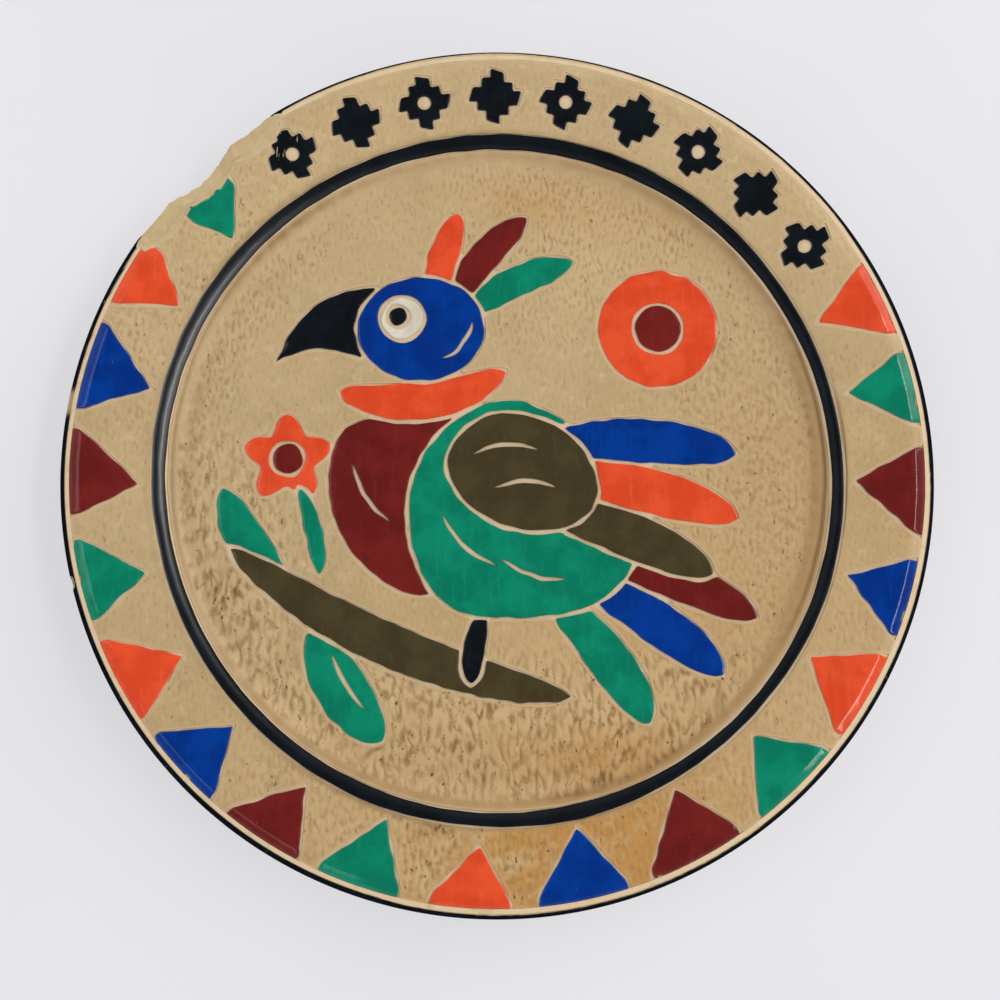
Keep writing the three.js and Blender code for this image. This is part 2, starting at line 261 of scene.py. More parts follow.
def easedLoop(loop, spacing, corner=38, rounds=3):
    # cuts the corners of the loop again and again, but leaves sharp ones, then spaces its points evenly
    before = loop - np.roll(loop, 1, axis=0)
    after = np.roll(loop, -1, axis=0) - loop
    bend = np.arctan2(before[:, 0] * after[:, 1] - before[:, 1] * after[:, 0], (before * after).sum(1))
    sharp = np.abs(bend) > math.radians(corner)
    for _ in range(rounds):
        after = np.roll(loop, -1, axis=0)
        trio = np.stack([loop, 0.75 * loop + 0.25 * after, 0.25 * loop + 0.75 * after], 1)
        used = np.stack([sharp, np.ones_like(sharp), np.ones_like(sharp)], 1)
        pinned = np.stack([sharp, np.zeros_like(sharp), np.zeros_like(sharp)], 1)
        loop, sharp = trio[used], pinned[used]
    closed = np.concatenate([loop, loop[:1]])
    travelled = np.concatenate([[0], np.cumsum(np.linalg.norm(np.diff(closed, axis=0), axis=1))])
    count = max(8, round(travelled[-1] / spacing))
    even = np.arange(count) * travelled[-1] / count
    pins = travelled[:-1][sharp]
    if len(pins):
        around = np.abs(even[:, None] - pins[None, :])
        near = np.minimum(around, travelled[-1] - around).min(1)
        even = np.sort(np.concatenate([even[near > 0.45 * travelled[-1] / count], pins]))
    return np.stack([np.interp(even, travelled, closed[:, k]) for k in (0, 1)], 1)


def measurePlan(points, loops, reach=2.5, strip=2.0):
    # for each point: is it inside the loops, by the even-odd rule, and how far is the nearest edge, up to
    # the reach. The points are taken in level strips, each with the edges that lie near it.
    start = np.concatenate(loops)
    along = np.concatenate([np.roll(loop, -1, axis=0) for loop in loops]) - start
    squared = (along**2).sum(1)
    low, high = np.minimum(0, along[:, 1]) + start[:, 1], np.maximum(0, along[:, 1]) + start[:, 1]
    inside = np.zeros(len(points), dtype=bool)
    distance = np.full(len(points), reach)
    order = np.argsort(points[:, 1])
    levels = np.floor(points[order, 1] / strip)
    for members in np.split(order, np.flatnonzero(np.diff(levels)) + 1):
        part = points[members]
        if not len(part):
            continue
        near = (high > part[:, 1].min() - reach) & (low < part[:, 1].max() + reach)
        if not near.any():
            continue
        dx = part[:, :1] - start[near, 0]
        dy = part[:, 1:] - start[near, 1]
        alongX, alongY = along[near, 0], along[near, 1]
        share = np.clip((dx * alongX + dy * alongY) / squared[near], 0, 1)
        gap = (dx - share * alongX) ** 2 + (dy - share * alongY) ** 2
        distance[members] = np.minimum(reach, np.sqrt(gap.min(1)))
        crosses = (dy < 0) != (dy < alongY)
        left = (alongX * dy - alongY * dx > 0) == (alongY > 0)
        inside[members] = (crosses & left).sum(1) % 2 == 1
    return inside, distance


def netInside(loops, pitch, clear):
    # a triangular net of points, every other row shifted by half a pitch: those inside the loops and
    # clear of them
    (left, low), (right, high) = np.concatenate(loops).min(0), np.concatenate(loops).max(0)
    rows = np.arange(low, high, pitch * math.sqrt(0.75))
    x, y = np.meshgrid(np.arange(left, right, pitch), rows)
    x = x + 0.5 * pitch * (np.arange(len(rows)) % 2)[:, None]
    net = np.stack([x.ravel(), y.ravel()], 1)
    inside, distance = measurePlan(net, loops)
    return net[inside & (distance > clear)]


def fillPlan(border, edges, inner, loops):
    # triangles over the border points and the inner points, without those that lie outside the loops
    points = np.concatenate([border, inner]) if len(inner) else border
    made = delaunay_2d_cdt(points.tolist(), edges.tolist(), [], 0, 1e-6, False)
    points, triangles = np.array(made[0]), np.array(made[2])
    doubtful = (triangles < len(border)).all(1) | (triangles >= len(border) + len(inner)).any(1)
    middles = points[triangles[doubtful]].mean(1)
    inside, _ = measurePlan(middles, loops)
    kept = np.ones(len(triangles), dtype=bool)
    kept[doubtful] = inside
    return points, triangles[kept]


def borderEdges(triangles):
    # edges used once, with the triangles on their left
    edges = np.concatenate([triangles[:, [0, 1]], triangles[:, [1, 2]], triangles[:, [2, 0]]])
    size = triangles.max() + 1
    code = edges[:, 0].astype(np.int64) * size + edges[:, 1]
    back = edges[:, 1].astype(np.int64) * size + edges[:, 0]
    return edges[~np.isin(code, back)]


# the net on a slab's hidden foot, finer in the curved cove
footNet = {"pitch": 4.0, "covePitch": 1.2, "cove": 74.0, "coveReach": 4.5, "clear": 0.6}


def slab(loops, pitch, topHeight, rings):
    # a plan filled with a triangular net, with rows of points inside its border: the top follows
    # topHeight(x, y, distance to the border), the foot follows slabFoot(radius), and the walls between
    # are upright
    border = np.concatenate(loops)
    starts = np.cumsum([0] + [len(loop) for loop in loops])
    edges = np.concatenate([
        np.stack([np.arange(len(loop)), np.roll(np.arange(len(loop)), -1)], 1) + start
        for loop, start in zip(loops, starts)
    ])
    inner = []
    for ring in rings:
        for loop in loops:
            ahead = np.roll(loop, -1, axis=0) - np.roll(loop, 1, axis=0)
            leftward = np.stack([-ahead[:, 1], ahead[:, 0]], 1) / np.linalg.norm(ahead, axis=1)[:, None]
            moved = loop + ring * leftward
            inside, distance = measurePlan(moved, loops)
            inner.append(moved[inside & (distance > 0.9 * ring)])
    inner.append(netInside(loops, pitch, rings[-1] + 0.5 * pitch))
    plan, top = fillPlan(border, edges, np.concatenate(inner), loops)
    _, distance = measurePlan(plan, loops)
    height, values = topHeight(plan[:, 0], plan[:, 1], distance)
    wall = borderEdges(top)
    rim = np.unique(wall)
    number = np.full(len(plan), -1)
    number[rim] = np.arange(len(rim))
    coarse = netInside(loops, footNet["pitch"], footNet["clear"])
    finer = netInside(loops, footNet["covePitch"], footNet["clear"])
    level = np.abs(np.hypot(*coarse.T) - footNet["cove"]) >= footNet["coveReach"]
    curved = np.abs(np.hypot(*finer.T) - footNet["cove"]) < footNet["coveReach"]
    below = np.concatenate([coarse[level], finer[curved]])
    footPlan, foot = fillPlan(plan[rim], number[wall], below, loops)
    footPoints = np.column_stack([footPlan, slabFoot(np.hypot(*footPlan.T))])
    points = np.concatenate([np.column_stack([plan, height]), footPoints])
    shifted = number + len(plan)
    a, b = wall[:, 0], wall[:, 1]
    quads = np.stack([shifted[a], shifted[b], b, a], 1)
    faces = [top, foot[:, ::-1] + len(plan), quads]
    hidden = np.zeros(len(footPlan) - len(rim))
    return points, faces, {key: np.concatenate([value, value[rim], hidden]) for key, value in values.items()}


def subdivided(corners, spacing):
    # points along straight stretches between the corners, no further apart than the spacing
    corners = np.array(corners, dtype=float)
    parts = []
    for start, end in zip(corners[:-1], corners[1:]):
        count = max(1, math.ceil(np.linalg.norm(end - start) / spacing))
        parts.append(start + (end - start) * (np.arange(count) / count)[:, None])
    return np.concatenate(parts + [corners[-1:]])


def lathe(profile, angles, onAxis):
    # a profile carried round the axis; one that starts and ends on the axis gets one point at each pole
    turn = np.radians(angles)
    body = profile[1:-1] if onAxis else profile
    rows, columns = len(body), len(angles)
    x = np.sin(turn)[:, None] * body[:, 0]
    y = np.cos(turn)[:, None] * body[:, 0]
    z = np.broadcast_to(body[:, 1], x.shape)
    points = np.stack([x, y, z], -1).reshape(-1, 3)
    i, j = np.meshgrid(np.arange(columns), np.arange(rows - 1 if onAxis else rows), indexing="ij")
    nextI, nextJ = (i + 1) % columns, (j + 1) % rows
    quads = np.stack([i * rows + j, i * rows + nextJ, nextI * rows + nextJ, nextI * rows + j], -1)
    faces = [quads.reshape(-1, 4)]
    if onAxis:
        poles = np.array([[0, 0, profile[0, 1]], [0, 0, profile[-1, 1]]])
        first, last = len(points), len(points) + 1
        column = np.arange(columns)
        after = (column + 1) % columns
        low = np.stack([np.full(columns, first), column * rows, after * rows], 1)
        high = np.stack([np.full(columns, last), after * rows + rows - 1, column * rows + rows - 1], 1)
        points = np.concatenate([points, poles])
        faces.append(np.concatenate([low, high]))
    return points, faces


turnRanges = (0, 252, 257.5, 301, 330, 360)  # the second range is over the nick, the fourth over the chip


def roundAngles(step, fine):
    # angles all round, closer together over the nick and the chip
    ranges = zip(turnRanges[:-1], turnRanges[1:], (step, fine, step, fine, step))
    return np.concatenate([np.arange(low, high, pitch) for low, high, pitch in ranges])


# Finishes

def linear(colour):
    # a written colour such as e8512b as the numbers that the shader takes
    parts = np.array([int(colour[k:k + 2], 16) / 255 for k in (0, 2, 4)])
    return (*np.where(parts <= 0.04045, parts / 12.92, ((parts + 0.055) / 1.055) ** 2.4), 1.0)


def addNode(tree, kind, inputs, **settings):
    # each input is another node's output, a number or a written colour
    made = tree.nodes.new(kind)
    for key, value in settings.items():
        setattr(made, key, value)
    for key, value in inputs.items():
        if isinstance(value, bpy.types.NodeSocket):
            tree.links.new(value, made.inputs[key])
        else:
            made.inputs[key].default_value = linear(value) if isinstance(value, str) else value
    return made


def newFinish(name, roughness, coat, coatRoughness, specular):
    material = bpy.data.materials.new(name)
    material.use_nodes = True
    tree = material.node_tree
    shader = tree.nodes["Principled BSDF"]
    shader.inputs["Roughness"].default_value = roughness
    shader.inputs["Coat Weight"].default_value = coat
    shader.inputs["Coat Roughness"].default_value = coatRoughness
    shader.inputs["Specular IOR Level"].default_value = specular
    place = addNode(tree, "ShaderNodeTexCoord", {}).outputs["Object"]
    return material, tree, shader, place


def noiseOf(tree, place, size, detail=3.0, roughness=0.55, stretch=None, turn=0.0):
    # noise whose features are about the given size in millimetres, drawn out along a direction
    if stretch:
        mapping = {"Vector": place, "Rotation": (0, 0, math.radians(turn)), "Scale": stretch}
        place = addNode(tree, "ShaderNodeMapping", mapping).outputs["Vector"]
    inputs = {"Vector": place, "Scale": 1 / (size * mm), "Detail": detail, "Roughness": roughness}
    return addNode(tree, "ShaderNodeTexNoise", inputs).outputs["Fac"]


def ramp(tree, value, low, high, toLow=0.0, toHigh=1.0):
    # stretches the range low to high out to 0 to 1, or to the other range
    inputs = {"Value": value, "From Min": low, "From Max": high, "To Min": toLow, "To Max": toHigh}
    return addNode(tree, "ShaderNodeMapRange", inputs, interpolation_type="SMOOTHSTEP").outputs["Result"]


def blendOf(tree, share, first, second):
    return addNode(tree, "ShaderNodeMix", {0: share, 6: first, 7: second}, data_type="RGBA").outputs[2]


def times(tree, first, second):
    return addNode(tree, "ShaderNodeMath", {0: first, 1: second}, operation="MULTIPLY").outputs[0]


def attributeOf(tree, name):
    return addNode(tree, "ShaderNodeAttribute", {}, attribute_name=name).outputs["Fac"]


def layered(tree, colour, palette, layers):
    # colours of the palette laid over the first one in turn, each by its share times its strength
    for name, share, strength in layers:
        colour = blendOf(tree, times(tree, share, strength), colour, palette[name])
    return colour


def bumped(tree, shader, height, distance, strength):
    inputs = {"Height": height, "Distance": distance * mm, "Strength": strength}
    bump = addNode(tree, "ShaderNodeBump", inputs).outputs["Normal"]
    tree.links.new(bump, shader.inputs["Normal"])
    return bump


clayColours = {
    "body": "d8be92", "pale": "e4d0aa", "dark": "ccb083", "grain": "8d7350", "cream": "e6cba6",
    "ink": "11161b",
}


def clayColour(tree, place):
    # mottled buff clay with a few dark grains
    mottle = ramp(tree, noiseOf(tree, place, 9), 0.35, 0.7)
    pale = ramp(tree, noiseOf(tree, place, 2.2, 4), 0.5, 0.75)
    grains = ramp(tree, noiseOf(tree, place, 0.5, 2), 0.7, 0.76)
    colour = blendOf(tree, mottle, clayColours["dark"], clayColours["body"])
    return layered(tree, colour, clayColours, [("pale", pale, 0.35), ("grain", grains, 0.25)])


def clayFinish():
    # bare clay, creamier where the carving tool has scraped it, with the ink of the edge's line
    material, tree, shader, place = newFinish("fired_clay", 0.8, 0.0, 0.3, 0.25)
    cream = ramp(tree, noiseOf(tree, place, 4, 3), 0.2, 0.5)
    colour = layered(tree, clayColour(tree, place), clayColours, [
        ("cream", attributeOf(tree, "scraped"), cream), ("ink", attributeOf(tree, "ink"), 1.0),
    ])
    tree.links.new(colour, shader.inputs["Base Color"])
    bumped(tree, shader, noiseOf(tree, place, 0.45, 4, 0.65), 0.09, 0.6)
    return material


# the brown of the wash also paints shade in the creases, along the cove and beside the band
slipColours = {
    "tan": "c6aa7d", "pale": "d0b78d", "grey": "bca175", "warm": "c59d65", "halo": "d8bb92",
    "wash": "8f6a3a", "deep": "5c4023", "stain": "c08636", "crest": "dcbd8c",
}


def slipFinish():
    # tan slip: brown wash and painted shade in the hollows, painted highlight on the bumps, and warm stains
    # near the top and the foot of the plate
    material, tree, shader, place = newFinish("tan_slip", 0.55, 0.1, 0.35, 0.4)
    rough = attributeOf(tree, "rough")
    mottle = ramp(tree, noiseOf(tree, place, 16, 4), 0.32, 0.68)
    pale = ramp(tree, noiseOf(tree, place, 3.0, 5, 0.6), 0.5, 0.78)
    fibres = ramp(tree, noiseOf(tree, place, 0.8, 3, 0.6, (1, 0.3, 1)), 0.5, 0.75)
    shade = addNode(tree, "ShaderNodeMapRange", {"Value": rough, "To Min": 0.15, "To Max": 0.45})
    patch = ramp(tree, noiseOf(tree, place, 5, 4, 0.6), 0.25, 0.55)
    fleck = ramp(tree, noiseOf(tree, place, 0.9, 2, 0.5, (1, 0.5, 1)), 0.66, 0.74)
    colour = blendOf(tree, mottle, slipColours["grey"], slipColours["tan"])
    colour = layered(tree, colour, slipColours, [
        ("pale", pale, 1.0),
        ("warm", attributeOf(tree, "warm"), 0.75),
        ("wash", fibres, shade.outputs["Result"]),
        ("halo", attributeOf(tree, "halo"), 0.8),
        # painted highlight on the tops of the bumps, and paler slip towards the top of the plate
        ("crest", attributeOf(tree, "crest"), 0.55),
        ("stain", times(tree, attributeOf(tree, "stain"), patch), 0.8),
        # brown wash with painted shade in the creases, along the cove and beside the band
        ("wash", attributeOf(tree, "wash"), 1.0),
        ("deep", attributeOf(tree, "dark"), 1.0),
        ("deep", fleck, rough),
    ])
    colour = blendOf(tree, attributeOf(tree, "bare"), colour, clayColour(tree, place))
    tree.links.new(colour, shader.inputs["Base Color"])
    bumped(tree, shader, noiseOf(tree, place, 0.6, 3, 0.6), 0.05, 0.6)
    return material


paints = {
    "black": {"body": "12181e", "dark": "0d1115", "light": "1c242b", "turn": 15},
    "orange": {"body": "f05630", "dark": "e14a26", "light": "f46c48", "turn": 70},
    "green": {"body": "0d8c6c", "dark": "087a5e", "light": "239b7b", "turn": 60},
    "blue": {"body": "023b96", "dark": "023083", "light": "1048a4", "turn": 35},
    "maroon": {"body": "782320", "dark": "691d1b", "light": "8b3430", "turn": 80},
    "brown": {"body": "4e442c", "dark": "443b25", "light": "5b5138", "turn": 20},
    "white": {"body": "e6dece", "dark": "d6ccb8", "light": "f0eadd", "turn": 40},
}


def paintFinish(name, look, worn=0.0, gloss=0.6, polish=0.09):
    # brushed colour: cloudy patches, streaks along the stroke, scratches down to the clay, a clear coat
    material, tree, shader, place = newFinish(name + "_paint", 0.5, gloss, polish, 0.0)
    cloud = ramp(tree, noiseOf(tree, place, 8, 4, 0.6), 0.38, 0.62)
    streaks = noiseOf(tree, place, 1.3, 3, 0.6, (1, 0.16, 1), look["turn"])
    scratch = noiseOf(tree, place, 0.8, 3, 0.7, (1, 0.12, 1), look["turn"] + 50)
    scrape = times(tree, ramp(tree, scratch, 0.73 - 0.16 * worn, 0.78 - 0.16 * worn), 0.3 + worn)
    most = {"operation": "MAXIMUM", "use_clamp": True}
    bare = addNode(tree, "ShaderNodeMath", {0: attributeOf(tree, "bare"), 1: scrape}, **most).outputs[0]
    colour = blendOf(tree, cloud, look["dark"], look["body"])
    colour = layered(tree, colour, look, [("light", ramp(tree, streaks, 0.5, 0.8), 0.35)])
    colour = blendOf(tree, bare, colour, clayColour(tree, place))
    tree.links.new(colour, shader.inputs["Base Color"])
    normal = bumped(tree, shader, streaks, 0.03, 0.4)
    tree.links.new(normal, shader.inputs["Coat Normal"])
    return material


def bandFinish():
    # the band's coat is thick on the left and worn thin elsewhere
    material = paintFinish("band", paints["black"], 0.0, 1.0, 0.3)
    tree = material.node_tree
    shader = tree.nodes["Principled BSDF"]
    shader.inputs["Coat IOR"].default_value = 1.85
    tree.links.new(attributeOf(tree, "gloss"), shader.inputs["Coat Weight"])
    return material


finishes = {"clay": clayFinish(), "slip": slipFinish()}
finishes.update({name: paintFinish(name, look) for name, look in paints.items()})
finishes["scuffed"] = paintFinish("scuffed", paints["black"], 0.5)
finishes["edge"] = paintFinish("edge", paints["black"], 0.2, 0.0)
finishes["band"] = bandFinish()
print("finishes made")

# The black line round the edge: on the edge paint, and on the bare clay inside it

edgePaint = {
    "from": -0.45, "to": 0.88,  # radians over the edge
    "turnStep": 0.5, "turnFine": 0.2, "depth": 0.3, "gapAngle": 278.8, "gapWidth": 2.0,
    "flaked": (303.6, 327.4),
    "turns": (0, 20, 50, 63, 84, 96, 119, 134, 150, 183, 198, 216, 242, 256, 300, 345, 360),
    "widths": (1.0, 1.25, 1.45, 1.75, 1.7, 1.5, 1.5, 1.5, 1.35, 1.35, 1.65, 1.8, 1.7, 1.75, 1.9, 1.15, 1.0),
}


def edgeInk(points):
    # share of ink on each point: wide on the left and at the sides, thin at the top and the foot, missed
    # in one spot, and gone where the knocks have flaked it
    x, y, z = points.T
    radius, angle = polar(x, y)
    width = np.interp(angle, edgePaint["turns"], edgePaint["widths"])
    width = width + 0.06 * ripples(x, y, 11, 21) + 0.04 * ripples(x, y, 2.4, 22)
    within = smoothStep(radius - form["edgeRadius"] + width, -0.05, 0.06)
    within = np.where(z > form["edgeHeight"], within, 1)
    gap = edgePaint["gapWidth"]
    missed = 1 - smoothStep(np.abs(angle - edgePaint["gapAngle"]), 0.5 * gap, gap)
    first, last = edgePaint["flaked"]
    ragged = angle + 0.5 * ripples(x, y, 2.5, 23)
    flaked = smoothStep(ragged - first, -0.15, 0.15) * (1 - smoothStep(ragged - last, -0.15, 0.15))
    return np.minimum(np.minimum(within, 1 - flaked), 1 - 0.75 * missed)


# Clay body

body = {
    "turnStep": 0.9, "turnFine": 0.22, "spacing": 0.9, "edgeSpacing": 0.28,
    "grooveInner": 50.8, "grooveOuter": 57.2, "grooveTop": 5.6,
    "flareRadius": 62.0, "flarePulls": ((72.0, 4.8), (80.0, 10.6)), "flareEnd": (95.8, 11.8),
    "underEdge": -1.3, "recessFrom": -0.5, "recessTo": 0.9,  # radians over the edge
    "recess": 0.33, "flushFrom": 97.25, "flushTo": 98.41,
    "ringPitch": 3.4, "ringDepth": 0.07, "ringsBelow": 12.2,  # throwing rings
}


def flareProfile():
    # the underside outside the foot: a cubic curve from the flat up to the edge
    share = np.linspace(0, 1, 40)
    start = (body["flareRadius"], form["underHeight"])
    weights = [(1 - share) ** 3, 3 * share * (1 - share) ** 2, 3 * share**2 * (1 - share), share**3]
    return np.stack(weights, 1) @ np.array([start, *body["flarePulls"], body["flareEnd"]])


def bodyProfile():
    # from the underside's centre, over the groove and the flare, round the edge and in to the centre
    under = subdivided([
        [0, form["underHeight"]], [body["grooveInner"], form["underHeight"]],
        [body["grooveInner"], body["grooveTop"]], [body["grooveOuter"], body["grooveTop"]],
        [body["grooveOuter"], form["underHeight"]], [body["flareRadius"], form["underHeight"]],
    ], 3.0)[:-1]
    lip = edgePoint(np.linspace(body["underEdge"], body["recessFrom"], 9))
    recess = edgePoint(np.linspace(body["recessFrom"], body["recessTo"], 16), body["recess"])
    bareTop = np.linspace(body["flushTo"], body["flushFrom"], 5)
    bare = (bareTop, surfaceHeight(bareTop))
    radii = np.concatenate([
        np.arange(body["flushFrom"], 90, -body["edgeSpacing"]), np.arange(90, 70, -body["spacing"]),
        np.arange(70, 1, -6.0),
    ])
    seat = (radii, surfaceHeight(radii) - form["clayTop"])
    centre = ([0], [form["floorHeight"] - form["clayTop"]])
    inward = [np.column_stack(part) for part in (lip, recess, bare, seat, centre)]
    return np.concatenate([under, flareProfile(), *inward])


def makeBody():
    # the profile carried round the axis, with the throwing rings, a sine wave of the radius, underneath
    points, faces = lathe(bodyProfile(), roundAngles(body["turnStep"], body["turnFine"]), True)
    x, y, z = points.T
    radius = np.hypot(x, y)
    rings = np.sin(2 * np.pi * radius / body["ringPitch"]) + 0.5 * ripples(x, y, 30, 3)
    outside = smoothStep(radius, 58, 63) * (1 - smoothStep(radius, 90, 96))
    inside = 1 - smoothStep(radius, 46, 50)
    rings = body["ringDepth"] * rings * (outside + 0.8 * inside)
    points[:, 2] -= np.where(z < body["ringsBelow"], rings, 0)
    scraped = z > surfaceHeight(radius) - 0.6
    ink = edgeInk(points) * (z > surfaceHeight(radius) - 0.05)
    points, broken = knockOff(points)
    values = {"scraped": scraped & ~broken, "ink": np.where(broken, 0, ink)}
    newPiece("thrown_body", "plate_body", points, faces, finishes["clay"], 35, **values)


makeBody()

foot = {"inner": 51.0, "outer": 57.0, "taper": 0.6, "round": 0.8, "top": 5.5, "wobble": 0.08}


def makeFoot():
    # a leaning side with the soft corner that a wet thumb leaves, and its mirror image across the tread
    turn = np.linspace(0, np.pi / 2, 7)
    toe = foot["inner"] + foot["taper"]
    corner = np.column_stack([toe + foot["round"] * (1 - np.cos(turn)), foot["round"] * (1 - np.sin(turn))])
    side = [[foot["inner"], foot["top"]], [foot["inner"], form["underHeight"]], corner[0]]
    inner = np.concatenate([subdivided(side, 0.7)[:-1], corner])
    outer = np.column_stack([foot["inner"] + foot["outer"] - inner[::-1, 0], inner[::-1, 1]])
    points, faces = lathe(np.concatenate([inner, outer]), np.arange(0, 360, 1.0), False)
    x, y, z = points.T
    radius = np.hypot(x, y)
    turned = np.arctan2(x, y)
    outward = np.sign(radius - (foot["inner"] + foot["outer"]) / 2)
    outward = outward * smoothStep(z, 0.6, 1.4) * (1 - smoothStep(z, 3.8, 4.7))
    wave = 0.5 + 0.5 * np.sin(5 * turned + z) * np.sin(3 * turned)
    points[:, :2] *= (1 - outward * foot["wobble"] * wave / radius)[:, None]
    plain = np.zeros(len(points))
    newPiece("luted_foot", "foot_ring", points, faces, finishes["clay"], 35, scraped=plain, ink=plain)


makeFoot()
print("clay body and foot made")

# Black band and edge paint

band = {
    "turnStep": 0.5, "rise": 0.36, "rows": 15, "wander": 0.05, "wanderSize": 9.0, "width": (0.7, 1.17),
    "gloss": 0.1, "glossAngle": 286, "glossReach": 32,
    "turns": (0, 20, 56, 84, 96, 112, 132, 146, 166, 184, 200, 225, 256, 285, 304, 336, 360),
    "widths": (1.12, 1.12, 0.87, 0.82, 0.82, 0.93, 0.76, 0.86, 1.15, 0.93, 1.08, 1.0, 0.93, 1.0, 1.08, 0.98,
               1.12),
    "shifts": (0.05, -0.1, -0.45, -0.15, 0.1, 0.55, 0.6, 0.6, 0.65, 0.4, 0.25, -0.25, -0.55, -0.15, 0, -0.05,
               0.05),
}


def bandShift(turned):
    # the band was drawn a little out of the middle of the plate: how far out it lies at each angle
    return np.interp(turned, band["turns"], band["shifts"])


def makeBand():
    # a low bead on the shoulder, whose width, place and crown vary as a brush does
    share = np.linspace(0, 1, band["rows"])
    radius = form["bandInner"] + share * (form["bandOuter"] - form["bandInner"])
    crown = surfaceHeight(radius) + band["rise"] * (1 - np.abs(2 * share - 1) ** 2.4)
    ends = radius[[0, -1]]
    seat = np.column_stack([ends, slabFoot(ends)])
    profile = np.concatenate([seat, np.column_stack([radius, crown])[::-1]])
    points, faces = lathe(profile, np.arange(0, 360, band["turnStep"]), False)
    x, y, z = points.T
    radius, turned = polar(x, y)
    width = np.interp(turned, band["turns"], band["widths"])
    width = np.clip(width + band["wander"] * ripples(x, y, band["wanderSize"], 11), *band["width"])
    moved = form["bandMiddle"] + width * (radius - form["bandMiddle"]) + bandShift(turned)
    points[:, 2] += surfaceHeight(moved) - surfaceHeight(radius)
    points[:, 2] += 0.03 * ripples(x, y, 6, 13) * (z > surfaceHeight(moved))
    points[:, :2] *= (moved / radius)[:, None]
    gloss = band["gloss"] + (1 - band["gloss"]) * bell(turned, band["glossAngle"], band["glossReach"])
    values = {"bare": np.zeros(len(points)), "gloss": gloss}
    newPiece("brushed_band", "shoulder_band", points, faces, finishes["band"], 50, **values)


def makeEdgePaint():
    # a thin coat over the rounded edge, from under it up to its inner border
    turn = np.linspace(edgePaint["from"], edgePaint["to"], 26)
    outer = np.column_stack(edgePoint(turn))
    inner = np.column_stack(edgePoint(turn[::4], edgePaint["depth"]))[::-1]
    angles = roundAngles(edgePaint["turnStep"], edgePaint["turnFine"])
    points, faces = lathe(np.concatenate([outer, inner]), angles, False)
    ink = edgeInk(points)
    points, _ = knockOff(points, 0.15)
    newPiece("brushed_edge", "edge_paint", points, faces, finishes["edge"], 50, bare=1 - ink)


makeBand()
makeEdgePaint()
print("black lines made")

# Slip, tooled between the motifs

ground = {
    "pitch": 0.4, "netRings": (0.16, 0.34, 0.52), "border": 0.42,
    "relief": 0.6, "deepest": 0.32, "clear": 0.25, "fade": 0.8, "groove": 0.06, "grooveWidth": 0.32,
    "wander": 0.12, "wanderSize": 7.0, "rings": (76.45, 80.15, 97.2),
    "soot": (  # centre, reach across and up, and share
        (29, -66.5, 16, 4.5, 0.4), (26, -70.5, 9, 2.6, 0.7), (49, -65, 5, 3, 0.35),
        (-13, -80.5, 7, 2.2, 0.9), (-62, -24, 5, 9, 0.6), (-27, -64, 12, 5, 0.35), (60, 4, 7, 12, 0.3),
    ),
}
# where each kind of tool mark sets in: along x or y, by radius, or round an angle
areas = {
    "foot": (36, 50), "left": (42, 53), "leftTop": (-5, 22), "right": (26, 44), "rightTop": (36, 52),
    "top": (24, 42), "topLeft": (-24, 4), "side": (60, 69), "sideTurn": (297, 30), "rimFoot": (178, 42),
    "rimUpper": (300, 24),
}
# painted shade along the cove and beside the band, laid on in the colour of the wash: radius, reach, and its
# share at angles
paintedShade = (
    (75.7, 1.0, (0, 30, 50, 80, 110, 144, 164, 176, 225, 245, 290, 318, 340, 360),
     (0.25, 0.45, 0.6, 0.2, 0.2, 0.4, 0.65, 0.4, 0.4, 0.15, 0.1, 0.7, 0.3, 0.25)),
    (73.9, 1.0, (0, 60, 76, 108, 130, 360), (0, 0.1, 0.4, 0.4, 0, 0)),
    (72.6, 1.4, (0, 222, 240, 290, 316, 360), (0, 0, 0.35, 0.35, 0, 0)),
    (80.3, 0.8, (0, 25, 100, 128, 144, 154, 168, 178, 204, 224, 296, 310, 335, 360),
     (0.4, 0.15, 0.1, 0.3, 0.5, 0.9, 1.0, 0.6, 0.7, 0.15, 0.1, 0.5, 0.25, 0.4)),
)
# thin line pressed into the slip along the band
pressed = {
    "angles": (0, 56, 68, 82, 104, 116, 124, 244, 262, 284, 294, 304, 330, 360),
    "radii": (75.85, 75.85, 75.85, 75.8, 75.85, 76.0, 76.0, 75.25, 75.25, 75.5, 75.75, 75.9, 75.9, 75.85),
    "shares": (0, 0, 0.5, 0.8, 0.8, 0.4, 0, 0, 0.42, 0.42, 0.3, 0.25, 0, 0),
    "reach": 0.34,
}
# radius at which the marks end in the cove
marksEnd = {
    "angles": (0, 110, 130, 145, 155, 165, 184, 200, 215, 235, 262, 290, 310, 360),
    "radii": (74.0, 74.0, 74.8, 75.6, 76.4, 75.8, 75.1, 75.1, 74.8, 74.6, 74.5, 74.3, 74.0, 74.0),
}


def shareNear(x, y, atX, atY, reachX, reachY):
    return bell(x, atX, reachX) * bell(y, atY, reachY)


def bent(x, y, size, tall, seed):
    # the plane, pushed about a little and drawn out upright
    pushedX = x + 0.22 * size * ripples(x, y, 3.2 * size, seed)
    pushedY = y + 0.5 * size * ripples(x, y, 4 * size, seed + 1)
    return pushedX, pushedY / tall


def hollows(x, y, size, tall, seed, low, high):
    # broad hollows: smooth noise below a level
    return smoothStep(-ripples(*bent(x, y, size, tall, seed), size, seed + 2, 28), low, high)


def creases(x, y, size, tall, seed):
    # thin creases round the bumps, where a larger noise passes through 0, deep in one place and gone in
    # another
    crossing = np.abs(ripples(*bent(x, y, size, tall, seed), 1.9 * size, seed + 3, 28))
    deep = smoothStep(ripples(x, y / 1.5, 2.5 * size, seed + 4), -0.5, 0.4)
    return (1 - smoothStep(crossing, 0.0, 0.3)) * deep


